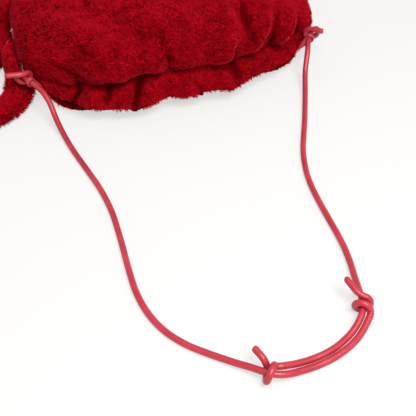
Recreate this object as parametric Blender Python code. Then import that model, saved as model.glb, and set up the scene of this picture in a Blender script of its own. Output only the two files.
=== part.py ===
"""Gathered plush clutch pouch, lying on its back, with a wrist loop and a knotted leather strap.

Units are metres. X runs along the mouth, Y from the mouth to the bottom seam, Z up.
The origin is the middle of the flat part of the back panel, which rests on the table.
"""
import math

import bmesh
import bpy
from mathutils import Vector

# Pouch, measured on the cloth surface with the pile pressed flat
BODY_WIDTH = 0.288
BODY_SHIFT = 0.0045
BODY_LENGTH = 0.235
BODY_HEIGHT = 0.080
NECK_WIDTH = 0.244
NECK_HEIGHT = 0.028
NECK_SAG = 0.027
NECK_Y = -0.110
HEM_WIDTH = 0.238
HEM_DEPTH = 0.026
RIGHT_HEM_LIFT = 0.011
LEFT_HEM_DROP = 0.006
HEM_EDGE_HEIGHT = 0.0155
BACK_HEM_DEPTH = 0.002
BULGE_REACH = 0.011
SIDE_SEAM_HEIGHT = 0.030
MOUTH_SEAM_HEIGHT = 0.019
BOTTOM_SEAM_HEIGHT = 0.024
BOTTOM_SEAM_WIDTH = 0.150
BACK_ROUNDING = 0.026
CROWN_POWER = 2.4
MOUTH_CURVE_POWER = 3.6
CORNER_POWER = 8

# Cloth
PLUSH_THICKNESS = 0.005
LINING_THICKNESS = 0.0012
SEAM_GAP = 0.0003
LINING_GAP = 0.0006

# Elastic in the casing
ELASTIC_THICKNESS = 0.003
ELASTIC_PLAY = 0.0007

# Wrist loop
WRIST_BAND_WIDTH = 0.027
WRIST_BAND_THICKNESS = 0.011
WRIST_END_WIDTH = 0.020
WRIST_END_LENGTH = 0.060

# Leather strap
CORD_DIAMETER = 0.005
KNOT_CLEARANCE = 0.0004
KNOT_RADIUS = 0.0058
KNOT_POINT_SPACING = 0.0024
KNOT_LEAD = 0.0022
KNOT_WRAP_STEP = 32
ANCHOR_WRAP = 285
ANCHOR_WRAP_REACH = 0.0056
ANCHOR_BEND = ((0.0046, 0.0016), (0.0058, 0.0038), (0.0044, 0.0056))
LEFT_KNOT_WRAP = -375
LEFT_KNOT_REACH = -0.0078
RIGHT_KNOT_WRAP = -450
RIGHT_KNOT_REACH = -0.0074
TAIL_BEND = 0.0028
ANCHOR_TAILS = (Vector((-0.0135, 0.0, 0.0007)), Vector((0.0046, -0.0044, 0.0002)))
LEFT_KNOT_TAIL = Vector((-0.0038, 0.0080, 0.0016))
RIGHT_KNOT_TAIL = Vector((-0.0044, 0.0120, 0.0026))
TAB_WALL = 0.0016
TAB_LENGTH = 0.005
TAB_POINTS = 16
TAB_STAND_OFF = {-1: 0.0082, 1: 0.0096}
TAB_FORWARD = 0.0090
TAB_RISE = {-1: 0.0075, 1: 0.0115}
CORD_SLANT = Vector((0.47, 0.88, 0.05))

# Grids: columns across a panel and rows from the mouth to the bottom; the inside has half of each
COLUMNS = 56
ROWS = 34
NECK_ROW = 6
SIDE_CROWDING = 0.6
ROW_CROWDING = 1.45
NECK_SHARE = 0.080
RIDGE_INSIDE = 0.30
VALLEY_INSIDE = 0.74
WRIST_BAND_POINTS = 12
WRIST_BAND_SQUARENESS = 0.75
ELASTIC_POINTS = 6
CURVE_STEPS = 16

# Folds of the front panel: x where the fold leaves the neck, x where it dies out, where it starts
# and ends on the way from hem edge to bottom seam, half width, height (negative for a valley)
FOLDS = (
    (-0.044, -0.125, 0.10, 0.42, 0.014, 0.0170),
    (-0.086, -0.122, 0.10, 0.24, 0.008, 0.0080),
    (-0.078, -0.112, 0.10, 0.22, 0.006, -0.0070),
    (-0.068, -0.115, 0.10, 0.30, 0.007, 0.0060),
    (-0.050, -0.110, 0.15, 0.30, 0.007, -0.0080),
    (-0.020, -0.110, 0.17, 0.42, 0.016, -0.0070),
    (-0.022, -0.026, 0.10, 0.40, 0.009, 0.0105),
    (-0.011, -0.021, 0.12, 0.26, 0.005, -0.0056),
    (0.010, 0.000, 0.10, 0.40, 0.012, 0.0065),
    (0.026, 0.020, 0.12, 0.34, 0.007, -0.0052),
    (0.038, 0.038, 0.10, 0.40, 0.010, 0.0115),
    (0.068, 0.050, 0.14, 0.34, 0.008, -0.0084),
    (0.068, 0.088, 0.10, 0.36, 0.008, 0.0110),
    (0.077, 0.094, 0.12, 0.32, 0.006, -0.0066),
    (0.095, 0.110, 0.10, 0.34, 0.008, 0.0100),
    (0.110, 0.117, 0.10, 0.26, 0.005, -0.0056),
    (0.122, 0.131, 0.12, 0.32, 0.006, 0.0040),
)
# Creases of the hem: x at the neck, x at the edge, half width, depth
HEM_CREASES = (
    (-0.087, -0.099, 0.005, 0.0055),
    (-0.061, -0.069, 0.005, 0.0055),
    (-0.030, -0.045, 0.005, 0.0075),
    (-0.010, -0.014, 0.005, 0.0030),
    (0.021, 0.017, 0.005, 0.0032),
    (0.044, 0.055, 0.005, 0.0075),
    (0.084, 0.082, 0.005, 0.0035),
)
# Lobes of the hem edge: x, half width, reach beyond the plain edge (negative where it is shorter)
HEM_LOBES = (
    (-0.076, 0.012, 0.0025),
    (-0.041, 0.015, 0.0070),
    (-0.013, 0.008, -0.0060),
    (0.027, 0.009, -0.0045),
    (0.054, 0.008, 0.0062),
    (0.086, 0.020, 0.0030),
    (0.110, 0.012, 0.0035),
)

# Wrist loop: middle line. Both ends are sewn into the left side seam; the lower one leaves it on
# edge, along the pouch, and then turns flat on the table.
WRIST_LOOP = (
    (-0.1402, -0.048, 0.0190), (-0.1446, -0.058, 0.0175), (-0.1449, -0.075, 0.0150),
    (-0.1430, -0.089, 0.0135), (-0.1402, -0.102, 0.0112), (-0.1440, -0.114, 0.0080),
    (-0.1540, -0.124, 0.0060), (-0.1680, -0.133, 0.0055), (-0.186, -0.142, 0.0055),
    (-0.205, -0.148, 0.0055), (-0.222, -0.147, 0.0055), (-0.233, -0.135, 0.0055),
    (-0.231, -0.114, 0.0055), (-0.214, -0.092, 0.0055), (-0.191, -0.071, 0.0055),
    (-0.170, -0.052, 0.0055), (-0.1580, -0.034, 0.0058), (-0.1545, -0.014, 0.0068),
    (-0.1570, 0.004, 0.0098), (-0.1535, 0.018, 0.0180), (-0.1390, 0.028, 0.0268),
)
WRIST_EDGE_RUN = 0.036
WRIST_TURN_RUN = 0.030

# Strap cords: routes chosen by hand, from the anchor knot at the bag to the sliding knot
LEFT_ROUTE = (
    (-0.1350, -0.1110, 0.0270), (-0.1302, -0.1190, 0.0265), (-0.1258, -0.1265, 0.0262),
    (-0.1210, -0.1352, 0.0250), (-0.1168, -0.1445, 0.0192), (-0.1138, -0.1565, 0.0105),
    (-0.1098, -0.1725, 0.0048), (-0.1040, -0.1950, 0.0028), (-0.0955, -0.2240, 0.0027),
    (-0.0892, -0.2470, 0.0027), (-0.0845, -0.2740, 0.0027), (-0.0828, -0.3050, 0.0027),
    (-0.0822, -0.3340, 0.0027), (-0.0808, -0.3590, 0.0027), (-0.0762, -0.3800, 0.0027),
    (-0.0682, -0.3975, 0.0027), (-0.0568, -0.4119, 0.0027), (-0.0446, -0.4225, 0.0029),
    (-0.0355, -0.4299, 0.0036), (-0.0272, -0.4368, 0.0048), (-0.0194, -0.4435, 0.0068),
    (-0.0103, -0.4512, 0.0083), (-0.0024, -0.4542, 0.0078), (0.0050, -0.4542, 0.0062),
    (0.0124, -0.4528, 0.0044), (0.0230, -0.4509, 0.0030), (0.0345, -0.4483, 0.0028),
    (0.0445, -0.4446, 0.0028), (0.0535, -0.4400, 0.0030), (0.0606, -0.4352, 0.0036),
    (0.0666, -0.4298, 0.0048), (0.0716, -0.4244, 0.0066),
)
RIGHT_ROUTE = (
    (0.1362, -0.1107, 0.0310), (0.1316, -0.1190, 0.0305), (0.1274, -0.1268, 0.0298),
    (0.1244, -0.1350, 0.0262), (0.1190, -0.1475, 0.0135), (0.1120, -0.1700, 0.0050),
    (0.1000, -0.2040, 0.0028), (0.0868, -0.2390, 0.0027), (0.0806, -0.2640, 0.0027),
    (0.0785, -0.2830, 0.0027), (0.0784, -0.3020, 0.0027), (0.0792, -0.3220, 0.0027),
    (0.0801, -0.3400, 0.0027), (0.0802, -0.3550, 0.0027), (0.0790, -0.3700, 0.0030),
    (0.0768, -0.3832, 0.0042), (0.0745, -0.3965, 0.0064), (0.0727, -0.4065, 0.0080),
    (0.0706, -0.4152, 0.0083), (0.0672, -0.4212, 0.0074), (0.0625, -0.4264, 0.0056),
    (0.0568, -0.4311, 0.0038), (0.0506, -0.4350, 0.0030), (0.0424, -0.4394, 0.0028),
    (0.0328, -0.4428, 0.0028), (0.0218, -0.4452, 0.0032), (0.0112, -0.4470, 0.0050),
    (0.0030, -0.4480, 0.0072),
)
CORD_POINT_SPACING = 0.010
LEFT_KNOT_PLACE = (-0.0103, -0.4512, 0.0083)
RIGHT_KNOT_PLACE = (0.0706, -0.4152, 0.0083)


def clear_scene():
    for item in list(bpy.data.objects):
        bpy.data.objects.remove(item)


def make_material(name, colour, roughness):
    material = bpy.data.materials.new(name)
    material.use_nodes = True
    shader = material.node_tree.nodes["Principled BSDF"]
    shader.inputs["Base Color"].default_value = (*colour, 1.0)
    shader.inputs["Roughness"].default_value = roughness
    shader.inputs["Metallic"].default_value = 0.0
    return material


def smooth_step(value):
    t = min(1.0, max(0.0, value))
    return t * t * (3.0 - 2.0 * t)


def smooth_value(stations, v):
    """Value at v on a curve through (v, value) stations that never overshoots them."""
    last = len(stations) - 2
    k = max(i for i in range(last + 1) if i == 0 or stations[i][0] <= v)
    slopes = [(stations[i + 1][1] - stations[i][1]) / (stations[i + 1][0] - stations[i][0])
              for i in range(last + 1)]

    def tangent(i):
        if i == 0 or i > last:
            return slopes[min(i, last)]
        before, after = slopes[i - 1], slopes[i]
        return 2.0 * before * after / (before + after) if before * after > 0.0 else 0.0

    step = stations[k + 1][0] - stations[k][0]
    t = (v - stations[k][0]) / step
    return (stations[k][1] * (1 + 2 * t) * (1 - t) ** 2 + stations[k + 1][1] * t * t * (3 - 2 * t)
            + step * tangent(k) * t * (1 - t) ** 2 - step * tangent(k + 1) * t * t * (1 - t))


def front_profile():
    """(v, y) and (v, z) of the front panel's middle line, from hem edge to bottom seam."""
    rise = BODY_HEIGHT - NECK_HEIGHT
    fall = BODY_HEIGHT - BOTTOM_SEAM_HEIGHT
    points = (
        (0.000, -NECK_SAG - HEM_DEPTH, HEM_EDGE_HEIGHT),
        (0.034, -NECK_SAG - 0.60 * HEM_DEPTH, NECK_HEIGHT - 0.001),
        (NECK_SHARE, -NECK_SAG, NECK_HEIGHT),
        (0.130, -NECK_SAG - 0.85 * BULGE_REACH, NECK_HEIGHT + 0.28 * rise),
        (0.180, -NECK_SAG - BULGE_REACH, NECK_HEIGHT + 0.58 * rise),
        (0.257, -NECK_SAG + 0.013, NECK_HEIGHT + 0.89 * rise),
        (0.363, 0.11 * BODY_LENGTH, BODY_HEIGHT),
        (0.520, 0.34 * BODY_LENGTH, BODY_HEIGHT - 0.03 * fall),
        (0.694, 0.60 * BODY_LENGTH, BODY_HEIGHT - 0.20 * fall),
        (0.843, 0.81 * BODY_LENGTH, BODY_HEIGHT - 0.46 * fall),
        (0.940, 0.945 * BODY_LENGTH, BODY_HEIGHT - 0.72 * fall),
        (0.982, 0.990 * BODY_LENGTH, BODY_HEIGHT - 0.89 * fall),
        (1.000, BODY_LENGTH, BOTTOM_SEAM_HEIGHT),
    )
    return [(v, y) for v, y, z in points], [(v, z) for v, y, z in points]


def back_profile():
    """(v, y) and (v, z) of the back panel's middle line; most of it lies on the table."""
    points = (
        (0.000, -NECK_SAG - BACK_HEM_DEPTH, 0.0),
        (NECK_SHARE, -NECK_SAG, 0.0),
        (0.180, -0.30 * NECK_SAG, 0.0),
        (0.363, 0.16 * BODY_LENGTH, 0.0),
        (0.520, 0.36 * BODY_LENGTH, 0.0),
        (0.694, 0.60 * BODY_LENGTH, 0.0),
        (0.843, 0.81 * BODY_LENGTH, 0.0),
        (0.940, 0.945 * BODY_LENGTH, 0.28 * BOTTOM_SEAM_HEIGHT),
        (0.982, 0.990 * BODY_LENGTH, 0.64 * BOTTOM_SEAM_HEIGHT),
        (1.000, BODY_LENGTH, BOTTOM_SEAM_HEIGHT),
    )
    return [(v, y) for v, y, z in points], [(v, z) for v, y, z in points]


def seam_outline():
    """Half width, y and z of the side seams, shared by both panels and the lining."""
    half = BODY_WIDTH / 2
    neck = NECK_WIDTH / 2
    corner = BOTTOM_SEAM_WIDTH / 2
    points = (
        (0.000, HEM_WIDTH / 2, -0.50 * HEM_DEPTH, MOUTH_SEAM_HEIGHT - 0.001),
        (NECK_SHARE, neck, 0.0, MOUTH_SEAM_HEIGHT),
        (0.130, neck + 0.20 * (half - neck), 0.020 * BODY_LENGTH, MOUTH_SEAM_HEIGHT + 0.001),
        (0.180, neck + 0.58 * (half - neck), 0.050 * BODY_LENGTH, MOUTH_SEAM_HEIGHT + 0.003),
        (0.257, neck + 0.90 * (half - neck), 0.110 * BODY_LENGTH, MOUTH_SEAM_HEIGHT + 0.006),
        (0.363, neck + 0.97 * (half - neck), 0.210 * BODY_LENGTH, SIDE_SEAM_HEIGHT),
        (0.520, half, 0.37 * BODY_LENGTH, SIDE_SEAM_HEIGHT),
        (0.694, half - 0.009, 0.57 * BODY_LENGTH, SIDE_SEAM_HEIGHT),
        (0.843, corner + 0.70 * (half - corner), 0.77 * BODY_LENGTH, SIDE_SEAM_HEIGHT - 0.001),
        (0.940, corner + 0.37 * (half - corner), 0.90 * BODY_LENGTH, BOTTOM_SEAM_HEIGHT + 0.001),
        (1.000, corner, 0.970 * BODY_LENGTH, BOTTOM_SEAM_HEIGHT),
    )
    return ([(v, w) for v, w, y, z in points], [(v, y) for v, w, y, z in points],
            [(v, z) for v, w, y, z in points])


FRONT_Y, FRONT_Z = front_profile()
BACK_Y, BACK_Z = back_profile()
SEAM_X, SEAM_Y, SEAM_Z = seam_outline()


def outward(first, second, v):
    """Unit vector at right angles to the plane curve (first, second) at v."""
    low, high = max(0.0, v - 0.004), min(1.0, v + 0.004)
    along = smooth_value(first, high) - smooth_value(first, low)
    across = smooth_value(second, high) - smooth_value(second, low)
    length = math.hypot(along, across)
    return across / length, along / length


def section(v, depth, front):
    """Middle y, middle z, half width, side y and seam z of the pouch, moved in by depth."""
    profile_y, profile_z = (FRONT_Y, FRONT_Z) if front else (BACK_Y, BACK_Z)
    across, along = outward(profile_y, profile_z, v)
    push_y, push_z = (-across, along) if front else (across, -along)
    push_z *= min(1.0, (1.0 - v) / 0.04)
    length = math.hypot(push_y, push_z)
    side_across, side_along = outward(SEAM_X, SEAM_Y, v)
    return (smooth_value(profile_y, v) - depth * push_y / length,
            smooth_value(profile_z, v) - depth * push_z / length,
            smooth_value(SEAM_X, v) - depth * side_across,
            smooth_value(SEAM_Y, v) + depth * side_along,
            smooth_value(SEAM_Z, v))


def body_shift(v):
    """The stuffed body leans to the right of the neck."""
    return BODY_SHIFT * smooth_step((v - NECK_SHARE - 0.03) / 0.13)


def seam_x(side, y):
    """X of the left (-1) or right (1) side seam where it passes y."""
    v = 0.0
    while NECK_Y + smooth_value(SEAM_Y, v) < y and v < 1.0:
        v += 0.002
    return side * smooth_value(SEAM_X, min(1.0, v)) + body_shift(v)


def crown(s, half_width, front):
    """Share of the full height that the section has at s, from 1 in the middle to 0 at the seam."""
    if front:
        return math.sqrt(max(0.0, 1.0 - abs(s) ** CROWN_POWER))
    flat = 1.0 - BACK_ROUNDING / half_width
    return math.sqrt(max(0.0, 1.0 - (max(0.0, abs(s) - flat) / (1.0 - flat)) ** 2))


def hem_lobe(x):
    """How far the edge of the hem reaches beyond its plain line at x."""
    return sum(reach * math.exp(-((x - centre) / width) ** 2) for centre, width, reach in HEM_LOBES)


def shell_point(s, v, depth, front, lift=0.0):
    """Point of the pouch at s across (-1 to 1) and v along (0 to 1), moved in by depth."""
    middle_y, middle_z, half_width, side_y, seam_z = section(v, depth, front)
    share = crown(s, half_width, front)
    y = middle_y + (side_y - middle_y) * abs(s) ** MOUTH_CURVE_POWER
    lopsided = RIGHT_HEM_LIFT * smooth_step((s - 0.32) / 0.28)
    lopsided -= LEFT_HEM_DROP * smooth_step((-s - 0.32) / 0.28)
    y += lopsided * (1.0 - abs(s) ** CORNER_POWER) * (1.0 - smooth_step((v - 0.10) / 0.15))
    if front:
        y -= hem_lobe(half_width * s) * (1.0 - abs(s) ** CORNER_POWER) * smooth_step(1.0 - v / NECK_SHARE)
    z = seam_z + (middle_z - seam_z) * share
    shift = body_shift(v)
    return Vector((half_width * s + shift, NECK_Y + y, z + lift))


def fold_height(s, v):
    """Height of the gathers of the front panel above its plain surface."""
    half_width = smooth_value(SEAM_X, v)
    x = s * half_width
    total = 0.0
    for x_neck, x_far, start, end, width, height in FOLDS:
        way = min(1.0, max(0.0, (v - start) / (end - start)))
        centre = x_neck + (x_far - x_neck) * way
        strength = smooth_step(way / 0.15) * (1.0 - smooth_step((way - 0.35) / 0.65))
        total += height * strength * math.exp(-((x - centre) / width) ** 2)
    for x_neck, x_edge, width, height in HEM_CREASES:
        way = min(1.0, v / NECK_SHARE)
        centre = x_edge + (x_neck - x_edge) * way
        strength = 1.0 - smooth_step((v - NECK_SHARE) / 0.04)
        total -= height * strength * math.exp(-((x - centre) / width) ** 2)
    return total * (1.0 - abs(s) ** CORNER_POWER) * smooth_step((1.0 - v) / 0.1)


def inner_fold(s, v):
    """The gathers as the inside of the cloth shows them: ridges soften, valleys stay."""
    fold = fold_height(s, v)
    return RIDGE_INSIDE * max(0.0, fold) + VALLEY_INSIDE * min(0.0, fold)


def column_place(i):
    u = 2.0 * i / COLUMNS - 1.0
    return (1.0 - SIDE_CROWDING) * u + SIDE_CROWDING * math.sin(math.pi * u / 2)


def row_place(j):
    return (j / ROWS) ** ROW_CROWDING


def new_object(name, data, material):
    item = bpy.data.objects.new(name, data)
    data.materials.append(material)
    bpy.context.scene.collection.objects.link(item)
    return item


def finish_mesh(name, mesh_builder, material):
    """Turn a bmesh into a smooth shaded object with its faces pointing out."""
    bmesh.ops.recalc_face_normals(mesh_builder, faces=mesh_builder.faces)
    mesh = bpy.data.meshes.new(name)
    mesh_builder.to_mesh(mesh)
    mesh_builder.free()
    mesh.shade_smooth()
    mesh.set_sharp_from_angle(angle=math.radians(50))
    return new_object(name, mesh, material)


def fill_grid(builder, grid, shared=()):
    """Pairs of triangles between the neighbouring points of a grid, all cut the same way.

    A triangle whose corners are all shared with another grid is left out of both.
    """
    for lower, upper in zip(grid, grid[1:]):
        for k in range(len(lower) - 1):
            for corners in ((lower[k], lower[k + 1], upper[k + 1]),
                            (lower[k], upper[k + 1], upper[k])):
                if not all(corner in shared for corner in corners):
                    builder.faces.new(corners)


def join_edges(builder, fine, coarse):
    """Close the rim between an edge and one with half as many points."""
    for k in range(len(coarse) - 1):
        builder.faces.new([coarse[k], coarse[k + 1], fine[2 * k + 2], fine[2 * k + 1], fine[2 * k]])


def make_panel(name, front, material):
    """One plush panel: outer grid, coarser inner grid, and the rims at mouth, sides and bottom."""
    builder = bmesh.new()
    lift = SEAM_GAP / 2 if front else -SEAM_GAP / 2
    step = 1 if front else 2
    outer = []
    for j in range(ROWS + 1):
        v = row_place(j)
        row = []
        for i in range(0, COLUMNS + 1, step):
            s = column_place(i)
            depth = -fold_height(s, v) if front else 0.0
            point = shell_point(s, v, depth, front, lift)
            point.z = max(0.0, point.z)
            row.append(builder.verts.new(point))
        outer.append(row)
    inner = []
    for j in range(0, ROWS + 1, 2):
        v = row_place(j)
        row = []
        for i in range(0, COLUMNS + 1, 2):
            s = column_place(i)
            depth = PLUSH_THICKNESS - (inner_fold(s, v) if front else 0.0)
            row.append(builder.verts.new(shell_point(s, v, depth, front, lift)))
        inner.append(row)
    fill_grid(builder, outer)
    fill_grid(builder, inner)
    for row_out, row_in in ((outer[0], inner[0]), (outer[-1], inner[-1])):
        if front:
            join_edges(builder, row_out, row_in)
        else:
            fill_grid(builder, [row_out, row_in])
    for k in (0, -1):
        join_edges(builder, [row[k] for row in outer], [row[k] for row in inner])
    return finish_mesh(name, builder, material)


def pouch_layer(builder, depth, first_row):
    """A closed-ended bag surface inside both panels; its halves share their seam points."""
    upper_half, lower_half = [], []
    for j in range(first_row, ROWS + 1, 2):
        v = row_place(j)
        places = [column_place(i) for i in range(0, COLUMNS + 1, 2)]
        top = [builder.verts.new(shell_point(s, v, depth - inner_fold(s, v), True)) for s in places]
        bottom = top
        if j < ROWS:
            middle = [builder.verts.new(shell_point(s, v, depth, False)) for s in places[1:-1]]
            bottom = top[:1] + middle + top[-1:]
        upper_half.append(top)
        lower_half.append(bottom)
    shared = set(upper_half[-1]) | {row[k] for row in upper_half for k in (0, -1)}
    fill_grid(builder, upper_half, shared)
    fill_grid(builder, lower_half, shared)
    return upper_half[0] + lower_half[0][-2::-1]


def make_lining(material):
    """Thin cloth pouch inside the plush, open at the neck."""
    builder = bmesh.new()
    outer_depth = PLUSH_THICKNESS + LINING_GAP
    outer = pouch_layer(builder, outer_depth, NECK_ROW + 2)
    inner = pouch_layer(builder, outer_depth + LINING_THICKNESS, NECK_ROW + 2)
    fill_grid(builder, [outer, inner])
    loose = [vert for vert in builder.verts if not vert.link_faces]
    bmesh.ops.delete(builder, geom=loose, context="VERTS")
    return finish_mesh("pouch_lining", builder, material)


def sweep(name, rings, material, closed=False):
    """Solid skin over a row of rings; open ends are capped."""
    builder = bmesh.new()
    grid = [[builder.verts.new(point) for point in ring] for ring in rings]
    grid = [ring + ring[:1] for ring in grid]
    if closed:
        grid.append(grid[0])
    fill_grid(builder, grid)
    if not closed:
        builder.faces.new(grid[0][:-1])
        builder.faces.new(grid[-1][:-1])
    return finish_mesh(name, builder, material)


def make_elastic(material):
    """Round elastic that gathers the neck, lying in the casing round the mouth."""
    v = row_place(NECK_ROW)
    radius = ELASTIC_THICKNESS / 2
    depth = PLUSH_THICKNESS + ELASTIC_PLAY + radius
    places = [column_place(i) for i in range(4, COLUMNS - 3, 2)]
    line = [shell_point(s, v, depth - inner_fold(s, v), True) for s in places]
    line += [shell_point(s, v, depth, False) for s in reversed(places)]
    rings = []
    for k, point in enumerate(line):
        along = (line[(k + 1) % len(line)] - line[k - 1]).normalized()
        up = along.cross(Vector((0.0, 1.0, 0.0))).normalized()
        side = along.cross(up)
        ring = []
        for n in range(ELASTIC_POINTS):
            angle = 2 * math.pi * n / ELASTIC_POINTS
            ring.append(point + radius * (math.cos(angle) * up + math.sin(angle) * side))
        rings.append(ring)
    return sweep("mouth_elastic", rings, material, closed=True)


def curve_through(points, spacing):
    """Evenly spaced points on a smooth curve through the route's own points."""
    route = [Vector(p) for p in points]
    route = [2 * route[0] - route[1]] + route + [2 * route[-1] - route[-2]]
    fine = []
    for a, b, c, d in zip(route, route[1:], route[2:], route[3:]):
        for k in range(CURVE_STEPS):
            t = k / CURVE_STEPS
            fine.append(0.5 * (2 * b + (c - a) * t + (2 * a - 5 * b + 4 * c - d) * t * t
                               + (3 * b - a - 3 * c + d) * t ** 3))
    fine.append(route[-2])
    lengths = [0.0]
    for a, b in zip(fine, fine[1:]):
        lengths.append(lengths[-1] + (b - a).length)
    count = max(2, round(lengths[-1] / spacing))
    result = []
    k = 0
    for n in range(count + 1):
        target = lengths[-1] * n / count
        while k < len(lengths) - 2 and lengths[k + 1] < target:
            k += 1
        share = (target - lengths[k]) / (lengths[k + 1] - lengths[k])
        result.append(fine[k].lerp(fine[k + 1], share))
    return result


def make_wrist_loop(material):
    """Plush band, both ends sewn into the left side seam, lying on the table in a loop."""
    line = curve_through([Vector(place) for place in WRIST_LOOP], WRIST_BAND_THICKNESS)
    half_thickness = WRIST_BAND_THICKNESS / 2
    rings = []
    for k, point in enumerate(line):
        from_end = WRIST_BAND_THICKNESS * min(k, len(line) - 1 - k)
        turned = 1.0 - smooth_step((WRIST_BAND_THICKNESS * k - WRIST_EDGE_RUN) / WRIST_TURN_RUN)
        twist = math.pi / 2 * turned
        spread = smooth_step(from_end / WRIST_END_LENGTH)
        half_width = (WRIST_END_WIDTH + (WRIST_BAND_WIDTH - WRIST_END_WIDTH) * spread) / 2
        before, after = line[max(0, k - 1)], line[min(len(line) - 1, k + 1)]
        along = (after - before).normalized()
        if k in (0, len(line) - 1):
            along = Vector((-1.0 if k == 0 else 1.0, 0.0, 0.0))
        level = along.cross(Vector((0.0, 0.0, 1.0))).normalized()
        up = level.cross(along)
        across = math.cos(twist) * level + math.sin(twist) * up
        thick = math.cos(twist) * up - math.sin(twist) * level
        ring = []
        for n in range(WRIST_BAND_POINTS):
            angle = 2 * math.pi * n / WRIST_BAND_POINTS
            c, s = math.cos(angle), math.sin(angle)
            side = math.copysign(abs(c) ** WRIST_BAND_SQUARENESS, c) * half_width
            rise = math.copysign(abs(s) ** WRIST_BAND_SQUARENESS, s) * half_thickness
            place = point + side * across + rise * thick
            ring.append(Vector((place.x, place.y, max(0.0, place.z))))
        rings.append(ring)
    return sweep("wrist_loop", rings, material)


def place_on(line, k, distance):
    """Point at a distance along the line from its point number k."""
    step = 1 if distance > 0 else -1
    left = abs(distance)
    while left > (line[k + step] - line[k]).length:
        left -= (line[k + step] - line[k]).length
        k += step
    return line[k] + (line[k + step] - line[k]).normalized() * left


def make_tube(name, points, radius, sides, material):
    """A round cord along points, with filled ends."""
    curve = bpy.data.curves.new(name, "CURVE")
    curve.dimensions = "3D"
    spline = curve.splines.new("POLY")
    spline.points.add(len(points) - 1)
    for target, point in zip(spline.points, points):
        target.co = (*point, 1.0)
    spline.use_smooth = True
    curve.bevel_depth = radius
    curve.bevel_resolution = sides // 2 - 2
    curve.use_fill_caps = True
    return new_object(name, curve, material)


def make_tab(name, side, material):
    """Leather eyelet sewn to the side seam at the neck; the strap cord runs through it."""
    centre = tab_centre(side)
    axis = cord_axis(side)
    inner = CORD_DIAMETER / 2 + KNOT_CLEARANCE
    outer = inner + TAB_WALL
    across = -side * axis.cross(Vector((0.0, 0.0, 1.0))).normalized()
    up = Vector((0.0, 0.0, 1.0))
    builder = bmesh.new()
    loops = []
    for radius, offset in ((inner, -0.5), (outer, -0.5), (outer, 0.5), (inner, 0.5)):
        loop = []
        for n in range(TAB_POINTS):
            angle = 2 * math.pi * n / TAB_POINTS
            level, rise = radius * math.cos(angle), radius * math.sin(angle)
            point = centre + axis * offset * TAB_LENGTH + across * level + up * rise
            if radius == outer and n in (13, 14, 15):
                point.x = seam_x(side, point.y) + side * SEAM_GAP
                point.z = MOUTH_SEAM_HEIGHT + TAB_WALL * (n - 14)
            loop.append(builder.verts.new(point))
        loops.append(loop + loop[:1])
    fill_grid(builder, loops + loops[:1])
    return finish_mesh(name, builder, material)


def tab_centre(side):
    return Vector((side * (NECK_WIDTH / 2 + TAB_STAND_OFF[side]), NECK_Y - TAB_FORWARD,
                   MOUTH_SEAM_HEIGHT + TAB_RISE[side]))


def cord_axis(side):
    return Vector((side * CORD_SLANT.x, CORD_SLANT.y, CORD_SLANT.z)).normalized()


def ring_point(centre, along, radius, angle):
    """Point at radius and angle round the direction along; angle 0 is level, 90 degrees is up."""
    level = along.cross(Vector((0.0, 0.0, 1.0))).normalized()
    up = level.cross(along)
    return centre + radius * (math.cos(angle) * level + math.sin(angle) * up)


def nearest(line, place):
    return min(range(1, len(line) - 1), key=lambda k: (line[k] - Vector(place)).length)


def tail_from(start, turning, tail):
    """Free end of a knot: leaves along turning and then runs along the vector tail."""
    corner = start + TAIL_BEND * (turning.normalized() + tail.normalized())
    return [corner, corner + 0.5 * tail, corner + tail]


def make_sliding_knot(name, end, heading, line, middle, turn, reach, tail, material):
    """Wraps made of the end of one cord round the line of the other, and a short free tail.

    The wraps start beside the other cord, on its far side, run through turn degrees and travel
    the distance reach along the line, centred near the place middle.
    """
    k = nearest(line, middle)
    first = end + KNOT_CLEARANCE * heading
    points = [first, first + KNOT_LEAD * heading]
    steps = round(abs(turn) / KNOT_WRAP_STEP)
    for n in range(steps + 1):
        share = n / steps
        travel = reach * (share - 0.5)
        centre = place_on(line, k, travel)
        along = place_on(line, k, travel + CORD_DIAMETER) - place_on(line, k, travel - CORD_DIAMETER)
        angle = math.pi + math.radians(turn) * share
        points.append(ring_point(centre, along.normalized(), KNOT_RADIUS, angle))
    points += tail_from(points[-1], points[-1] - points[-2], tail)
    return make_tube(name, curve_through(points, KNOT_POINT_SPACING), CORD_DIAMETER / 2, 8, material)


def make_anchor_knot(name, side, end, tail, material):
    """Stopper knot behind the side tab: the cord's end turns back and wraps its own last stretch."""
    along = cord_axis(side)
    first = end + KNOT_CLEARANCE * along
    start = math.radians(90 + side * ANCHOR_WRAP)
    points = [first, first + KNOT_LEAD * along]
    for travel, radius in ANCHOR_BEND:
        points.append(ring_point(end + travel * along, along, radius, start))
    steps = round(ANCHOR_WRAP / KNOT_WRAP_STEP)
    for n in range(1, steps + 1):
        share = n / steps
        centre = end + (KNOT_LEAD - ANCHOR_WRAP_REACH * share) * along
        angle = start - side * math.radians(ANCHOR_WRAP) * share
        points.append(ring_point(centre, along, KNOT_RADIUS, angle))
    points += tail_from(points[-1], points[-1] - points[-2], tail)
    return make_tube(name, curve_through(points, KNOT_POINT_SPACING), CORD_DIAMETER / 2, 8, material)


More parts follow.
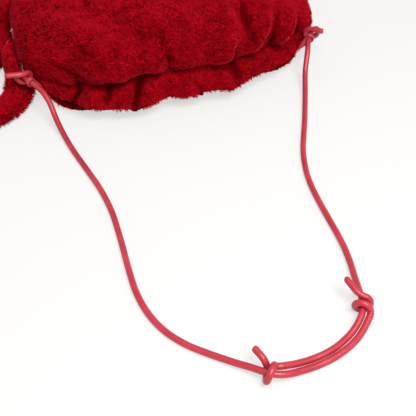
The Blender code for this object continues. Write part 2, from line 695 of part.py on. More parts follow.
def main():
    clear_scene()
    plush = make_material("red_plush", (0.30, 0.005, 0.012), 0.9)
    lining = make_material("red_lining_cloth", (0.20, 0.004, 0.010), 0.7)
    rubber = make_material("white_elastic", (0.75, 0.74, 0.72), 0.6)
    leather = make_material("red_leather", (0.42, 0.022, 0.040), 0.4)
    make_panel("plush_front_panel", True, plush)
    make_panel("plush_back_panel", False, plush)
    make_lining(lining)
    make_elastic(rubber)
    make_wrist_loop(plush)
    for word, side in (("left", -1), ("right", 1)):
        make_tab("side_tab_" + word, side, leather)
    left_line = curve_through(LEFT_ROUTE, CORD_POINT_SPACING)
    right_line = curve_through(RIGHT_ROUTE, CORD_POINT_SPACING)
    make_tube("strap_cord_left", left_line, CORD_DIAMETER / 2, 10, leather)
    make_tube("strap_cord_right", right_line, CORD_DIAMETER / 2, 10, leather)
    make_anchor_knot("anchor_knot_left", -1, left_line[0], ANCHOR_TAILS[0], leather)
    make_anchor_knot("anchor_knot_right", 1, right_line[0], ANCHOR_TAILS[1], leather)
    left_heading = (left_line[-1] - left_line[-2]).normalized()
    right_heading = (right_line[-1] - right_line[-2]).normalized()
    make_sliding_knot("sliding_knot_left", right_line[-1], right_heading, left_line,
                      LEFT_KNOT_PLACE, LEFT_KNOT_WRAP, LEFT_KNOT_REACH, LEFT_KNOT_TAIL, leather)
    make_sliding_knot("sliding_knot_right", left_line[-1], left_heading, right_line,
                      RIGHT_KNOT_PLACE, RIGHT_KNOT_WRAP, RIGHT_KNOT_REACH, RIGHT_KNOT_TAIL, leather)


main()
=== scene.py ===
"""Looks of a gathered plush clutch pouch that lies on its back on a white table.

It has a plush wrist loop and a strap of round leather cord, closed with sliding knots.
Units are metres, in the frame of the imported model: X along the mouth, Y to the bottom, Z up.
"""
import math

import bmesh
import bpy
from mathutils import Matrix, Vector


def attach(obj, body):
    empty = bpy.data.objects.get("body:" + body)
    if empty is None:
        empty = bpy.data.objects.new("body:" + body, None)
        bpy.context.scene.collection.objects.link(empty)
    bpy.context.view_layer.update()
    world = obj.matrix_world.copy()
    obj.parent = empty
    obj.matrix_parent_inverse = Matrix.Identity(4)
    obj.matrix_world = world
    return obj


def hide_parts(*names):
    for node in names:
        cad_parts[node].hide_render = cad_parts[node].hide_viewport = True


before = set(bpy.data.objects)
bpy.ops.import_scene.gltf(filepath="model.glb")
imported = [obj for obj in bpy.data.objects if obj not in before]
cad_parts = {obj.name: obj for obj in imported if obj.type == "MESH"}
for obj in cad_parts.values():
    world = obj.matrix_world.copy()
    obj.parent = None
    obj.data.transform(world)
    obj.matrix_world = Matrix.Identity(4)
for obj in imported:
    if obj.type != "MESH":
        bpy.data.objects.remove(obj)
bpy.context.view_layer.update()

# Camera: stands in front of the mouth, 0.46 m above the table, and looks down at 45 degrees.
# Its place was found from the strap, which lies flat on the table.
camera_data = bpy.data.cameras.new("camera")
camera_data.lens = 70.8
camera_data.sensor_width = 36.0
camera = bpy.data.objects.new("camera", camera_data)
camera.location = (-0.1215, -0.7345, 0.4624)
sight = Vector((0.1720, 0.6859, -0.7071))
camera.rotation_euler = sight.to_track_quat("-Z", "Y").to_euler()
bpy.context.scene.collection.objects.link(camera)
bpy.context.scene.camera = camera


# Strap: two round cords of dyed leather, 5 mm thick. Each is tied off behind the tab at its own
# end of the neck, lies loosely on the table and ends in a knot round the other cord.
CORD_DIAMETER = 0.005
LEFT_ROUTE = (
    (-0.1350, -0.1110, 0.0270), (-0.1302, -0.1190, 0.0265), (-0.1258, -0.1265, 0.0262),
    (-0.1210, -0.1352, 0.0250), (-0.1168, -0.1445, 0.0192), (-0.1138, -0.1565, 0.0105),
    (-0.1098, -0.1725, 0.0048), (-0.1040, -0.1950, 0.0028), (-0.0955, -0.2240, 0.0027),
    (-0.0892, -0.2470, 0.0027), (-0.0845, -0.2740, 0.0027), (-0.0828, -0.3050, 0.0027),
    (-0.0822, -0.3340, 0.0027), (-0.0808, -0.3590, 0.0027), (-0.0762, -0.3800, 0.0027),
    (-0.0682, -0.3975, 0.0027), (-0.0568, -0.4119, 0.0027), (-0.0446, -0.4225, 0.0029),
    (-0.0355, -0.4299, 0.0036), (-0.0272, -0.4368, 0.0048), (-0.0194, -0.4435, 0.0068),
    (-0.0103, -0.4512, 0.0083), (-0.0024, -0.4542, 0.0078), (0.0050, -0.4542, 0.0062),
    (0.0124, -0.4528, 0.0044), (0.0230, -0.4509, 0.0030), (0.0345, -0.4483, 0.0028),
    (0.0445, -0.4446, 0.0028), (0.0535, -0.4400, 0.0030), (0.0606, -0.4352, 0.0036),
    (0.0666, -0.4298, 0.0048), (0.0716, -0.4244, 0.0066),
)
RIGHT_ROUTE = (
    (0.1362, -0.1107, 0.0310), (0.1316, -0.1190, 0.0305), (0.1274, -0.1268, 0.0298),
    (0.1244, -0.1350, 0.0262), (0.1190, -0.1475, 0.0135), (0.1120, -0.1700, 0.0050),
    (0.1000, -0.2040, 0.0028), (0.0868, -0.2390, 0.0027), (0.0806, -0.2640, 0.0027),
    (0.0785, -0.2830, 0.0027), (0.0784, -0.3020, 0.0027), (0.0792, -0.3220, 0.0027),
    (0.0801, -0.3400, 0.0027), (0.0802, -0.3550, 0.0027), (0.0790, -0.3700, 0.0030),
    (0.0768, -0.3832, 0.0042), (0.0745, -0.3965, 0.0064), (0.0727, -0.4065, 0.0080),
    (0.0706, -0.4152, 0.0083), (0.0672, -0.4212, 0.0074), (0.0625, -0.4264, 0.0056),
    (0.0568, -0.4311, 0.0038), (0.0506, -0.4350, 0.0030), (0.0424, -0.4394, 0.0028),
    (0.0328, -0.4428, 0.0028), (0.0218, -0.4452, 0.0032), (0.0112, -0.4470, 0.0050),
    (0.0030, -0.4480, 0.0072),
)
STEPS_BETWEEN = 6
KNOT_LEAD = 0.0012


def smooth_line(route):
    """Points on a smooth curve through the route's own points."""
    knots = [Vector(p) for p in route]
    knots = [2 * knots[0] - knots[1]] + knots + [2 * knots[-1] - knots[-2]]
    line = []
    for a, b, c, d in zip(knots, knots[1:], knots[2:], knots[3:]):
        for k in range(STEPS_BETWEEN):
            t = k / STEPS_BETWEEN
            line.append(0.5 * (2 * b + (c - a) * t + (2 * a - 5 * b + 4 * c - d) * t * t
                               + (3 * b - a - 3 * c + d) * t ** 3))
    return line + [knots[-2]]


def reach_on(line, lead):
    """The line with both ends carried straight on, into the knots that the cord runs on into."""
    first = line[0] + lead * (line[0] - line[1]).normalized()
    last = line[-1] + lead * (line[-1] - line[-2]).normalized()
    return [first] + line + [last]


def new_group(name, inputs, outputs):
    """Shader node group with named inputs (name, value) and named number or colour outputs."""
    group = bpy.data.node_groups.new(name, "ShaderNodeTree")
    for label, value in inputs:
        socket = group.interface.new_socket(label, in_out="INPUT", socket_type="NodeSocketFloat")
        socket.default_value = value
    for label in outputs:
        group.interface.new_socket(label, in_out="OUTPUT", socket_type="NodeSocketFloat")
    ends = group.nodes.new("NodeGroupInput"), group.nodes.new("NodeGroupOutput")
    return group, *ends


def new_material(name, roughness):
    material = bpy.data.materials.new(name)
    material.use_nodes = True
    shader = material.node_tree.nodes["Principled BSDF"]
    shader.inputs["Roughness"].default_value = roughness
    return material, material.node_tree, shader


def add_node(tree, kind, settings=(), **values):
    """New node with its settings and the plain values of its inputs."""
    node = tree.nodes.new(kind)
    for key, value in dict(settings).items():
        setattr(node, key, value)
    for key, value in values.items():
        node.inputs[key.replace("_", " ")].default_value = value
    return node


def add_ramp(tree, stops):
    """Colour ramp with stops (place, colour)."""
    node = tree.nodes.new("ShaderNodeValToRGB")
    ramp = node.color_ramp
    while len(ramp.elements) < len(stops):
        ramp.elements.new(1.0)
    for element, (place, colour) in zip(ramp.elements, stops):
        element.position = place
        element.color = (*colour, 1.0)
    return node


def build_grain_group():
    """Fine leather grain: small cells broken up by noise. Gives a tone and a height, 0 to 1."""
    group, start, end = new_group("leather_grain", (("Cells", 900.0), ("Blotches", 60.0)),
                                  ("Tone", "Height"))
    place = add_node(group, "ShaderNodeTexCoord")
    cells = add_node(group, "ShaderNodeTexVoronoi", {"feature": "DISTANCE_TO_EDGE"})
    blotches = add_node(group, "ShaderNodeTexNoise", Detail=3.0)
    fine = add_node(group, "ShaderNodeTexNoise", Detail=2.0, Scale=2600.0)
    spread = add_node(group, "ShaderNodeMapRange", From_Max=0.35)
    mix = add_node(group, "ShaderNodeMath", {"operation": "MULTIPLY_ADD"})
    mix.inputs[1].default_value = 0.35
    link = group.links.new
    link(place.outputs["Object"], cells.inputs["Vector"])
    link(place.outputs["Object"], blotches.inputs["Vector"])
    link(place.outputs["Object"], fine.inputs["Vector"])
    link(start.outputs["Cells"], cells.inputs["Scale"])
    link(start.outputs["Blotches"], blotches.inputs["Scale"])
    link(cells.outputs["Distance"], spread.inputs["Value"])
    link(fine.outputs["Fac"], mix.inputs[0])
    link(spread.outputs["Result"], mix.inputs[2])
    link(blotches.outputs["Fac"], end.inputs["Tone"])
    link(mix.outputs["Value"], end.inputs["Height"])
    return group


grain_group = build_grain_group()


def make_leather():
    """Dyed leather cord: a glossy finish over a fine grain, the colour a little uneven."""
    material, tree, shader = new_material("dyed_leather_cord", 0.36)
    grain = add_node(tree, "ShaderNodeGroup", {"node_tree": grain_group})
    colour = add_ramp(tree, ((0.30, (0.33, 0.012, 0.022)), (0.55, (0.39, 0.018, 0.033)),
                             (0.75, (0.45, 0.027, 0.047))))
    shine = add_node(tree, "ShaderNodeMapRange", To_Min=0.42, To_Max=0.30)
    bump = add_node(tree, "ShaderNodeBump", Strength=0.25, Distance=0.0002)
    link = tree.links.new
    link(grain.outputs["Tone"], colour.inputs["Fac"])
    link(grain.outputs["Tone"], shine.inputs["Value"])
    link(grain.outputs["Height"], bump.inputs["Height"])
    link(colour.outputs["Color"], shader.inputs["Base Color"])
    link(shine.outputs["Result"], shader.inputs["Roughness"])
    link(bump.outputs["Normal"], shader.inputs["Normal"])
    return material


leather = make_leather()


WELD_DISTANCE = 0.00002
PAIRING_ANGLE = math.radians(50)
KNOT_GROWTH = 0.00022
FINE_GROWTH = 0.0001


def place_object(name, data):
    item = bpy.data.objects.new(name, data)
    bpy.context.scene.collection.objects.link(item)
    return item


def mesh_from(builder, name):
    mesh = bpy.data.meshes.new(name)
    builder.to_mesh(mesh)
    builder.free()
    return mesh


def take_mesh(holder):
    """Mesh of an object with its modifiers applied. The object goes."""
    bpy.context.view_layer.update()
    shaped = holder.evaluated_get(bpy.context.evaluated_depsgraph_get())
    mesh = bpy.data.meshes.new_from_object(shaped)
    bpy.data.objects.remove(holder)
    return mesh


def smooth_copy(node, levels, grow=0.0):
    """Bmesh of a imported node: welded, its triangles paired to quads, subdivided and rounded.

    Subdividing draws a tube in, and grow moves the surface out again along its normals.
    """
    builder = bmesh.new()
    builder.from_mesh(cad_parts[node].data)
    bmesh.ops.remove_doubles(builder, verts=builder.verts, dist=WELD_DISTANCE)
    bmesh.ops.join_triangles(builder, faces=builder.faces, angle_face_threshold=PAIRING_ANGLE,
                             angle_shape_threshold=PAIRING_ANGLE)
    holder = place_object(node + "_shape", mesh_from(builder, node + "_shape"))
    rounding = holder.modifiers.new("rounding", "SUBSURF")
    rounding.levels = rounding.render_levels = levels
    smooth = take_mesh(holder)
    builder = bmesh.new()
    builder.from_mesh(smooth)
    if grow:
        builder.normal_update()
        for vert, normal in [(v, v.normal.copy()) for v in builder.verts]:
            vert.co += grow * normal
    return builder


def finish_piece(name, builder, material):
    """Object from a bmesh, smooth shaded, riding on the bag."""
    mesh = mesh_from(builder, name)
    mesh.shade_smooth()
    mesh.materials.append(material)
    piece = place_object(name, mesh)
    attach(piece, "root")
    return piece


def make_knot(name):
    piece = finish_piece("leather_" + name, smooth_copy(name, 2, grow=KNOT_GROWTH), leather)
    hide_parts(name)
    return piece


def make_strap_cord(side, route):
    line = reach_on(smooth_line(route), KNOT_LEAD)
    data = bpy.data.curves.new("leather_cord_" + side, "CURVE")
    data.dimensions = "3D"
    spline = data.splines.new("POLY")
    spline.points.add(len(line) - 1)
    for target, point in zip(spline.points, line):
        target.co = (*point, 1.0)
    spline.use_smooth = True
    data.bevel_depth = CORD_DIAMETER / 2
    data.bevel_resolution = 5
    data.use_fill_caps = True
    data.materials.append(leather)
    piece = place_object("leather_cord_" + side, data)
    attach(piece, "root")
    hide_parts("strap_cord_" + side)


knot = {name: make_knot(name) for name in ("anchor_knot_left", "anchor_knot_right",
                                           "sliding_knot_left", "sliding_knot_right")}
make_strap_cord("left", LEFT_ROUTE)
make_strap_cord("right", RIGHT_ROUTE)
for word in ("left", "right"):
    tab = finish_piece("leather_tab_" + word, smooth_copy("side_tab_" + word, 1, grow=FINE_GROWTH),
                       leather)
    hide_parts("side_tab_" + word)


# Plush: a knitted backing with a dense soft pile, dyed red right through. The pile stands about
# 3 mm off the backing and leans in drifts and clumps. Its colour is painted darker towards its roots
# and in the creases, which is painted shade.
# PILE_SINK is how far the backing lies under the imported solid's surface. The leans are each the
# scale of a noise and how strongly it turns the tufts, and the loose lean is each tuft's own.
PILE_LENGTH = 0.0031
PILE_WIDTH = 0.00050
PILE_SINK = 0.0012
PILE_LEANS = ((330.0, 1.6), (110.0, 1.2), (38.0, 0.4))
LOOSE_LEAN = (-0.38, -0.38, -0.46), (0.38, 0.38, 0.30)
TUFT_SIDES = 3
ABOVE_TABLE = 0.0002
NO_LIMIT = -10.0


def build_drift_group():
    """Uneven dye and drifts of the pile: slow and quick noise in one tone, 0 to 1."""
    group, start, end = new_group("pile_drift", (("Drifts", 28.0), ("Clumps", 210.0)), ("Tone",))
    place = add_node(group, "ShaderNodeTexCoord")
    drifts = add_node(group, "ShaderNodeTexNoise", Detail=3.0)
    clumps = add_node(group, "ShaderNodeTexNoise", Detail=2.0)
    mix = add_node(group, "ShaderNodeMix", Factor=0.45)
    link = group.links.new
    link(place.outputs["Object"], drifts.inputs["Vector"])
    link(place.outputs["Object"], clumps.inputs["Vector"])
    link(start.outputs["Drifts"], drifts.inputs["Scale"])
    link(start.outputs["Clumps"], clumps.inputs["Scale"])
    link(drifts.outputs["Fac"], mix.inputs["A"])
    link(clumps.outputs["Fac"], mix.inputs["B"])
    link(mix.outputs["Result"], end.inputs["Tone"])
    return group


def build_lie_group():
    """The pile as one soft surface: each tuft is lit mostly as the cloth that it stands on."""
    group, start, end = new_group("pile_lie", (("Cloth Share", 0.82),), ())
    group.interface.new_socket("Normal", in_out="OUTPUT", socket_type="NodeSocketVector")
    cloth = add_node(group, "ShaderNodeAttribute", {"attribute_name": "cloth_normal"})
    turned = add_node(group, "ShaderNodeVectorTransform",
                      {"vector_type": "NORMAL", "convert_from": "OBJECT", "convert_to": "WORLD"})
    own = add_node(group, "ShaderNodeNewGeometry")
    mix = add_node(group, "ShaderNodeMix", {"data_type": "VECTOR"})
    unit = add_node(group, "ShaderNodeVectorMath", {"operation": "NORMALIZE"})
    link = group.links.new
    link(cloth.outputs["Vector"], turned.inputs["Vector"])
    link(start.outputs["Cloth Share"], mix.inputs[0])
    link(own.outputs["Normal"], mix.inputs[4])
    link(turned.outputs["Vector"], mix.inputs[5])
    link(mix.outputs[1], unit.inputs[0])
    link(unit.outputs["Vector"], end.inputs["Normal"])
    return group


def build_crease_shade_group():
    """Painted shade in the creases, 0 to 1: the nap's share to the given power, low in a crease, where the
    nap is short.
    """
    group, start, end = new_group("painted_crease_shade", (("Power", 3.0),), ("Shade",))
    nap = add_node(group, "ShaderNodeAttribute", {"attribute_name": "nap"})
    power = add_node(group, "ShaderNodeMath", {"operation": "POWER", "use_clamp": True})
    link = group.links.new
    link(nap.outputs["Fac"], power.inputs[0])
    link(start.outputs["Power"], power.inputs[1])
    link(power.outputs["Value"], end.inputs["Shade"])
    return group


drift_group = build_drift_group()
lie_group = build_lie_group()
crease_shade_group = build_crease_shade_group()


def multiply_colours(tree, first, second):
    """The product of two colour or number outputs."""
    mix = add_node(tree, "ShaderNodeMix", {"data_type": "RGBA", "blend_type": "MULTIPLY"})
    mix.inputs["Factor"].default_value = 1.0
    tree.links.new(first, mix.inputs[6])
    tree.links.new(second, mix.inputs[7])
    return mix.outputs[2]


def make_backing():
    """The roots of the pile, seen between the tufts. Their dark colour is painted shade deep in the pile.
    """
    material, tree, shader = new_material("plush_roots_painted_shade", 0.95)
    shader.inputs["Specular IOR Level"].default_value = 0.0
    drift = add_node(tree, "ShaderNodeGroup", {"node_tree": drift_group})
    # Painted shade: the backing's dark red stands in for the shade deep among the tufts.
    colour = add_ramp(tree, ((0.30, (0.15, 0.0010, 0.0030)), (0.70, (0.22, 0.0016, 0.0050))))
    bump = add_node(tree, "ShaderNodeBump", Strength=0.8, Distance=0.001)
    # Painted shade: the backing's colour is darkened in the creases, by the nap's share cubed.
    depth = add_node(tree, "ShaderNodeGroup", {"node_tree": crease_shade_group})
    shaded = multiply_colours(tree, colour.outputs["Color"], depth.outputs["Shade"])
    link = tree.links.new
    link(drift.outputs["Tone"], colour.inputs["Fac"])
    link(drift.outputs["Tone"], bump.inputs["Height"])
    link(shaded, shader.inputs["Base Color"])
    link(bump.outputs["Normal"], shader.inputs["Normal"])
    return material


def make_pile_finish():
    """The tufts: painted dark at the root, as the shade deep in the pile, clear red at the tip, with the
    soft sheen of fine fibre.
    """
    material, tree, shader = new_material("plush_pile", 0.80)
    shader.inputs["Specular IOR Level"].default_value = 0.0
    shader.inputs["Sheen Weight"].default_value = 1.0
    shader.inputs["Sheen Roughness"].default_value = 0.40
    shader.inputs["Sheen Tint"].default_value = (1.0, 0.04, 0.08, 1.0)
    drift = add_node(tree, "ShaderNodeGroup", {"node_tree": drift_group})
    along = add_node(tree, "ShaderNodeAttribute", {"attribute_name": "along"})
    # Root to tip: the dark colour low on each tuft is painted shade deep in the pile.
    up = add_ramp(tree, ((0.0, (0.20, 0.0010, 0.0035)), (0.4, (0.47, 0.0028, 0.0095)),
                         (1.0, (0.61, 0.0062, 0.0180))))
    shade = add_ramp(tree, ((0.32, (0.82, 0.82, 0.82)), (0.68, (1.0, 1.0, 1.0))))
    dyed = multiply_colours(tree, up.outputs["Color"], shade.outputs["Color"])
    lie = add_node(tree, "ShaderNodeGroup", {"node_tree": lie_group})
    depth = add_node(tree, "ShaderNodeGroup", {"node_tree": crease_shade_group})
    # The ramp's place is the height up the tuft times the painted crease shade, so the tufts in a crease
    # are painted darker.
    height = add_node(tree, "ShaderNodeMath", {"operation": "MULTIPLY"})
    link = tree.links.new
    link(lie.outputs["Normal"], shader.inputs["Normal"])
    link(along.outputs["Fac"], height.inputs[0])
    link(depth.outputs["Shade"], height.inputs[1])
    link(height.outputs["Value"], up.inputs["Fac"])
    link(drift.outputs["Tone"], shade.inputs["Fac"])
    link(dyed, shader.inputs["Base Color"])
    return material


plush_backing = make_backing()
plush_pile = make_pile_finish()


def build_pile_tree():
    """Geometry nodes that plant a small tuft at points spread over the faces marked with pile."""
    tree = bpy.data.node_groups.new("pile", "GeometryNodeTree")
    sockets = (("Cloth", "Geometry"), ("Density", "Float"), ("Length", "Float"),
               ("Width", "Float"), ("Seed", "Int"))
    for label, kind in sockets:
        tree.interface.new_socket(label, in_out="INPUT", socket_type="NodeSocket" + kind)
    tree.interface.new_socket("Pile", in_out="OUTPUT", socket_type="NodeSocketGeometry")
    start, end = tree.nodes.new("NodeGroupInput"), tree.nodes.new("NodeGroupOutput")
    link = tree.links.new

    marked = add_node(tree, "GeometryNodeInputNamedAttribute", {"data_type": "BOOLEAN"},
                      Name="pile")
    spread = add_node(tree, "GeometryNodeDistributePointsOnFaces")
    link(start.outputs["Cloth"], spread.inputs["Mesh"])
    link(start.outputs["Density"], spread.inputs["Density"])
    link(start.outputs["Seed"], spread.inputs["Seed"])
    link(marked.outputs["Attribute"], spread.inputs["Selection"])

    place = add_node(tree, "GeometryNodeInputPosition")
    lean = spread.outputs["Normal"]
    for scale, strength in PILE_LEANS:
        noise = add_node(tree, "ShaderNodeTexNoise", Scale=scale, Detail=1.0)
        link(place.outputs["Position"], noise.inputs["Vector"])
        centred = add_node(tree, "ShaderNodeVectorMath", {"operation": "SUBTRACT"})
        centred.inputs[1].default_value = (0.5, 0.5, 0.5)
        scaled = add_node(tree, "ShaderNodeVectorMath", {"operation": "SCALE"}, Scale=strength)
        total = add_node(tree, "ShaderNodeVectorMath", {"operation": "ADD"})
        link(noise.outputs["Color"], centred.inputs[0])
        link(centred.outputs["Vector"], scaled.inputs[0])
        link(lean, total.inputs[0])
        link(scaled.outputs["Vector"], total.inputs[1])
        lean = total.outputs["Vector"]
    loose = add_node(tree, "FunctionNodeRandomValue", {"data_type": "FLOAT_VECTOR"})
    loose.inputs["Min"].default_value, loose.inputs["Max"].default_value = LOOSE_LEAN
    total = add_node(tree, "ShaderNodeVectorMath", {"operation": "ADD"})
    link(lean, total.inputs[0])
    link(loose.outputs["Value"], total.inputs[1])
    turn = add_node(tree, "FunctionNodeAlignRotationToVector", {"axis": "Z"})
    link(total.outputs["Vector"], turn.inputs["Vector"])

    patchy = add_node(tree, "ShaderNodeTexNoise", Scale=260.0, Detail=1.0)
    link(place.outputs["Position"], patchy.inputs["Vector"])
    tall = add_node(tree, "ShaderNodeMapRange", From_Min=0.3, From_Max=0.7, To_Min=0.62,
                    To_Max=1.18)
    link(patchy.outputs["Fac"], tall.inputs["Value"])
    nap = add_node(tree, "GeometryNodeInputNamedAttribute", {"data_type": "FLOAT"}, Name="nap")
    cut = add_node(tree, "ShaderNodeMath", {"operation": "MULTIPLY"})
    link(start.outputs["Length"], cut.inputs[0])
    link(nap.outputs["Attribute"], cut.inputs[1])
    length = add_node(tree, "ShaderNodeMath", {"operation": "MULTIPLY"})
    link(cut.outputs["Value"], length.inputs[0])
    link(tall.outputs["Result"], length.inputs[1])
    size = add_node(tree, "ShaderNodeCombineXYZ")
    link(start.outputs["Width"], size.inputs["X"])
    link(start.outputs["Width"], size.inputs["Y"])
    link(length.outputs["Value"], size.inputs["Z"])

    tuft = add_node(tree, "GeometryNodeMeshCone", {"fill_type": "NONE"}, Vertices=TUFT_SIDES,
                    Side_Segments=1, Radius_Top=0.0, Radius_Bottom=1.0, Depth=1.0)
    heights = add_node(tree, "ShaderNodeSeparateXYZ")
    own_place = add_node(tree, "GeometryNodeInputPosition")
    marked_tuft = add_node(tree, "GeometryNodeStoreNamedAttribute", {"data_type": "FLOAT"},
                           Name="along")
    link(own_place.outputs["Position"], heights.inputs["Vector"])
    link(tuft.outputs["Mesh"], marked_tuft.inputs["Geometry"])
    link(heights.outputs["Z"], marked_tuft.inputs["Value"])

    facing = add_node(tree, "GeometryNodeStoreNamedAttribute", {"data_type": "FLOAT_VECTOR"},
                      Name="cloth_normal")
    link(spread.outputs["Points"], facing.inputs["Geometry"])
    link(spread.outputs["Normal"], facing.inputs["Value"])
    plant = add_node(tree, "GeometryNodeInstanceOnPoints")
    link(facing.outputs["Geometry"], plant.inputs["Points"])
    link(marked_tuft.outputs["Geometry"], plant.inputs["Instance"])
    link(turn.outputs["Rotation"], plant.inputs["Rotation"])
    link(size.outputs["Vector"], plant.inputs["Scale"])
    real = add_node(tree, "GeometryNodeRealizeInstances")
    link(plant.outputs["Instances"], real.inputs["Geometry"])

    press = add_node(tree, "GeometryNodeSetPosition")
    floor_limit = add_node(tree, "ShaderNodeVectorMath", {"operation": "MAXIMUM"})
    floor_limit.inputs[1].default_value = (NO_LIMIT, NO_LIMIT, ABOVE_TABLE)
    link(place.outputs["Position"], floor_limit.inputs[0])
    link(real.outputs["Geometry"], press.inputs["Geometry"])
    link(floor_limit.outputs["Vector"], press.inputs["Position"])
    link(press.outputs["Geometry"], end.inputs["Pile"])
    return tree


pile_tree = build_pile_tree()


def set_nap(cloth, share):
    """Give all the pile of a cloth one length, as a share of PILE_LENGTH."""
    nap = cloth.data.attributes.new("nap", "FLOAT", "POINT")
    nap.data.foreach_set("value", [share] * len(cloth.data.vertices))


def grow_pile(name, cloth, density, seed, keep):
    """Tufts on the faces of cloth for which keep(centre, normal) holds, as a piece of its own."""
    if "nap" not in cloth.data.attributes:
        set_nap(cloth, 1.0)
    mesh = cloth.data.copy()
    marks = mesh.attributes.new("pile", "BOOLEAN", "FACE")
    marks.data.foreach_set("value", [keep(face.center, face.normal) for face in mesh.polygons])
    holder = place_object(name + "_field", mesh)
    planting = holder.modifiers.new("planting", "NODES")
    planting.node_group = pile_tree
    values = {"Density": density, "Length": PILE_LENGTH, "Width": PILE_WIDTH, "Seed": seed}
    for item in pile_tree.interface.items_tree:
        if item.in_out == "INPUT" and item.name in values:
            planting[item.identifier] = values[item.name]
    tufts = take_mesh(holder)
    tufts.name = name
    tufts.materials.clear()
    tufts.materials.append(plush_pile)
    piece = place_object(name, tufts)
    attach(piece, "root")
    return piece


# Pouch panels: front and back, each cut from plush and sewn together at the sides and bottom.
# The mouth is drawn in by an elastic, and the cloth beyond it stands out as a short frill.
# Densities are tufts per square metre. The far part, past FAR_PART, is out of the photo's view.
FAR_PART = 0.050
FRONT_DENSITY, FAR_DENSITY, BACK_DENSITY = 1150000.0, 900000.0, 600000.0
# SHORTEST_NAP is the nap's share in the middle of a crease; cubed, it also paints shade into the crease's
# colour.
SHORTEST_NAP = 0.55
KNOT_PLACE, KNOT_REACH, KNOT_NAP = Vector((0.137, -0.113, 0.031)), 0.016, 2.8
CORE_WIDTH_SHARE, CORE_START, CORE_END, CORE_HEIGHT = 0.7, -0.10, 0.08, 0.010
CREASE_SPAN = 0.04
# Creases: how deep the cloth is drawn in, half width, and points on the cloth along the crease.
CREASES = (
    (0.0034, 0.0030, ((-0.1108, -0.1252, 0.0465), (-0.0992, -0.1352, 0.0451), (-0.0915, -0.1385, 0.0397),
                      (-0.0879, -0.1321, 0.0248), (-0.0893, -0.1396, 0.0217), (-0.0968, -0.1443, 0.0156))),
    (0.0034, 0.0026, ((-0.0621, -0.1393, 0.0253), (-0.0650, -0.1502, 0.0228), (-0.0681, -0.1572, 0.0198))),
    (0.0050, 0.0034, ((-0.0300, -0.1400, 0.0340), (-0.0335, -0.1363, 0.0257), (-0.0389, -0.1495, 0.0230),
                      (-0.0444, -0.1623, 0.0158))),
    (0.0046, 0.0034, ((0.0517, -0.1489, 0.0519), (0.0530, -0.1400, 0.0360), (0.0507, -0.1345, 0.0253),
                      (0.0523, -0.1425, 0.0239), (0.0531, -0.1504, 0.0204))),
    (0.0026, 0.0036, ((-0.0854, -0.1340, 0.0656), (-0.0761, -0.1504, 0.0618), (-0.0684, -0.1571, 0.0548))),
    (0.0022, 0.0030, ((-0.0584, -0.1397, 0.0690), (-0.0550, -0.1513, 0.0609))),
    (0.0040, 0.0040, ((0.0672, -0.1113, 0.0716), (0.0656, -0.1208, 0.0673), (0.0673, -0.1354, 0.0584),
                      (0.0685, -0.1389, 0.0500))),
    (0.0034, 0.0036, ((0.0965, -0.1221, 0.0614), (0.0913, -0.1315, 0.0512), (0.0883, -0.1258, 0.0341))),
    (0.0026, 0.0034, ((0.1220, -0.1115, 0.0490), (0.1202, -0.1099, 0.0298))),
    (0.0026, 0.0030, ((-0.0149, -0.1401, 0.0723), (-0.0099, -0.1458, 0.0496), (-0.0075, -0.1405, 0.0340))),
    (0.0020, 0.0026, ((0.0129, -0.1546, 0.0239), (0.0183, -0.1586, 0.0147))),
)


def faces_out(centre, normal):
    """True on the outer side of the pouch and on the cut edge of the frill."""
    core = Vector((CORE_WIDTH_SHARE * centre.x, min(CORE_END, max(CORE_START, centre.y)), CORE_HEIGHT))
    return (centre - core).dot(normal) > 0.0


def distance_to(point, line):
    """Distance from a point to a line through points."""
    nearest = math.inf
    for a, b in zip(line, line[1:]):
        along = b - a
        share = min(1.0, max(0.0, (point - a).dot(along) / along.length_squared))
        nearest = min(nearest, (point - a - share * along).length)
    return nearest


def press_creases(builder):
    """Draw the cloth in along its creases, and mark how long the nap is: short in a crease, and
    long round the knot at the right end of the neck. The short nap in a crease also darkens its colour,
    which is painted shade.
    """
    nap = builder.verts.layers.float.new("nap")
    builder.normal_update()
    lines = [(depth, width, [Vector(p) for p in points]) for depth, width, points in CREASES]
    moves = []
    for vert in builder.verts:
        near_knot = math.exp(-((vert.co - KNOT_PLACE).length / KNOT_REACH) ** 4)
        vert[nap] = 1.0 + (KNOT_NAP - 1.0) * near_knot
        for depth, width, line in lines:
            if abs(vert.co.x - line[0].x) < CREASE_SPAN:
                share = math.exp(-(distance_to(vert.co, line) / width) ** 2)
                vert[nap] = min(vert[nap], 1.0 - (1.0 - SHORTEST_NAP) * share)
                moves.append((vert, -depth * share * vert.normal))
    for vert, move in moves:
        vert.co += move


def make_panel(side, fields):
    """Panel with its pile, in fields of (name, tufts per square metre, seed, test of the place)."""
    node = "plush_" + side + "_panel"
    builder = smooth_copy(node, 2, grow=-PILE_SINK)
    if side == "front":
        press_creases(builder)
    panel = finish_piece("plush_" + side, builder, plush_backing)
    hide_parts(node)
    pile = [grow_pile("pile_" + word, panel, density, seed,
                      lambda centre, normal: inside(centre) and faces_out(centre, normal))
            for word, density, seed, inside in fields]


make_panel("front", (
    ("front_left", FRONT_DENSITY, 3, lambda place: place.x < 0.0 and place.y < FAR_PART),
    ("front_right", FRONT_DENSITY, 4, lambda place: place.x >= 0.0 and place.y < FAR_PART),
    ("front_far", FAR_DENSITY, 7, lambda place: place.y >= FAR_PART),
))
make_panel("back", (("back", BACK_DENSITY, 5, lambda place: True),))


# Wrist loop: a doubled band of the same plush, with both ends sewn into the left side seam. The
# lower end leaves the seam on edge and turns flat on the table, and the long pile frays its edges.
LOOP_NAP = 1.6
LOOP_DENSITY = 1900000.0
LOOP_END_FROM, LOOP_END_TO, LOOP_END_REACH = -0.158, -0.139, 0.0085
LOOP_END_START = 0.005


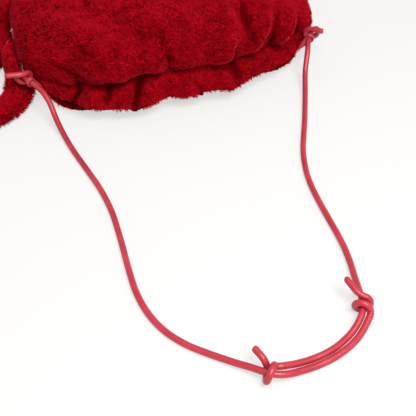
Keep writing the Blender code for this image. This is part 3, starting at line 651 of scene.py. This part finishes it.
def draw_on(builder):
    """Draw the upper end of the band on to the side seam, which its solid stops short of."""
    for vert in builder.verts:
        if vert.co.y > LOOP_END_START:
            share = min(1.0, max(0.0, (vert.co.x - LOOP_END_FROM) / (LOOP_END_TO - LOOP_END_FROM)))
            vert.co.x += LOOP_END_REACH * share
    return builder


loop = finish_piece("plush_wrist_loop", draw_on(smooth_copy("wrist_loop", 2, grow=-PILE_SINK)),
                    plush_backing)
set_nap(loop, LOOP_NAP)
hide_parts("wrist_loop")
grow_pile("pile_wrist_loop", loop, LOOP_DENSITY, 6, lambda centre, normal: True)


# Lining and elastic: hidden in the mouth. The lining is a smooth woven cloth, the elastic a
# braided round cord in the casing at the neck.
def make_weave(name, dark, light, scale, roughness):
    """Plain woven or braided thread: two crossed waves give its tone and its height."""
    material, tree, shader = new_material(name, roughness)
    place = add_node(tree, "ShaderNodeTexCoord")
    colour = add_ramp(tree, ((0.0, dark), (1.0, light)))
    bump = add_node(tree, "ShaderNodeBump", Strength=0.4, Distance=0.0003)
    cross = add_node(tree, "ShaderNodeMath", {"operation": "MULTIPLY"})
    link = tree.links.new
    for k, direction in enumerate(("X", "Y")):
        threads = add_node(tree, "ShaderNodeTexWave", {"bands_direction": direction}, Scale=scale,
                           Distortion=0.3)
        link(place.outputs["Object"], threads.inputs["Vector"])
        link(threads.outputs["Fac"], cross.inputs[k])
    link(cross.outputs["Value"], colour.inputs["Fac"])
    link(cross.outputs["Value"], bump.inputs["Height"])
    link(colour.outputs["Color"], shader.inputs["Base Color"])
    link(bump.outputs["Normal"], shader.inputs["Normal"])
    return material


lining_cloth = make_weave("lining_cloth", (0.14, 0.003, 0.008), (0.22, 0.005, 0.012), 240.0, 0.6)
elastic_braid = make_weave("elastic_braid", (0.60, 0.59, 0.57), (0.78, 0.77, 0.75), 320.0, 0.7)
lining = finish_piece("lining_pouch", smooth_copy("pouch_lining", 1), lining_cloth)
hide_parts("pouch_lining")
elastic = finish_piece("elastic_cord", smooth_copy("mouth_elastic", 1, grow=FINE_GROWTH),
                       elastic_braid)
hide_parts("mouth_elastic")


# Table and light: a plain white surface, a wide soft lamp above and in front of the bag, and an
# even sky. To the camera the table glows near white, and the bag keeps its soft shadow on it.
TABLE_HALF_WIDTH = 3.0
TABLE_COLOUR = (0.90, 0.89, 0.885, 1.0)
TABLE_GLOW = 0.74
GLOW_COLOUR, GLOW_STRENGTH = (1.0, 0.990, 0.983, 1.0), 0.83
LAMP_PLACE, LAMP_WIDTH, LAMP_POWER = (0.14, -0.80, 1.00), 0.6, 17.5
SKY_STRENGTH = 0.60


def make_table():
    material, tree, shader = new_material("white_table", 0.6)
    shader.inputs["Base Color"].default_value = TABLE_COLOUR
    rays = add_node(tree, "ShaderNodeLightPath")
    seen = add_node(tree, "ShaderNodeMath", {"operation": "MAXIMUM"})
    mirrored = add_node(tree, "ShaderNodeMath", {"operation": "MAXIMUM"})
    share = add_node(tree, "ShaderNodeMath", {"operation": "MULTIPLY"})
    share.inputs[1].default_value = TABLE_GLOW
    glow = add_node(tree, "ShaderNodeEmission", Color=GLOW_COLOUR, Strength=GLOW_STRENGTH)
    mix = add_node(tree, "ShaderNodeMixShader")
    link = tree.links.new
    link(rays.outputs["Is Camera Ray"], seen.inputs[0])
    link(rays.outputs["Is Glossy Ray"], mirrored.inputs[0])
    link(rays.outputs["Is Transmission Ray"], mirrored.inputs[1])
    link(mirrored.outputs["Value"], seen.inputs[1])
    link(seen.outputs["Value"], share.inputs[0])
    link(share.outputs["Value"], mix.inputs["Fac"])
    link(shader.outputs["BSDF"], mix.inputs[1])
    link(glow.outputs["Emission"], mix.inputs[2])
    link(mix.outputs["Shader"], tree.nodes["Material Output"].inputs["Surface"])
    builder = bmesh.new()
    bmesh.ops.create_grid(builder, x_segments=1, y_segments=1, size=TABLE_HALF_WIDTH)
    mesh = mesh_from(builder, "white_table")
    mesh.materials.append(material)
    table = place_object("white_table", mesh)


def add_lamp(name, place, width, power):
    data = bpy.data.lights.new(name, "AREA")
    data.size = width
    data.energy = power
    lamp = place_object(name, data)
    lamp.location = place
    lamp.rotation_euler = (-Vector(place)).to_track_quat("-Z", "Y").to_euler()


make_table()
add_lamp("soft_lamp", LAMP_PLACE, LAMP_WIDTH, LAMP_POWER)
sky = bpy.data.worlds.new("even_sky")
sky.use_nodes = True
sky.node_tree.nodes["Background"].inputs["Color"].default_value = (1.0, 1.0, 1.0, 1.0)
sky.node_tree.nodes["Background"].inputs["Strength"].default_value = SKY_STRENGTH
bpy.context.scene.world = sky
bpy.context.scene.view_settings.view_transform = "Standard"
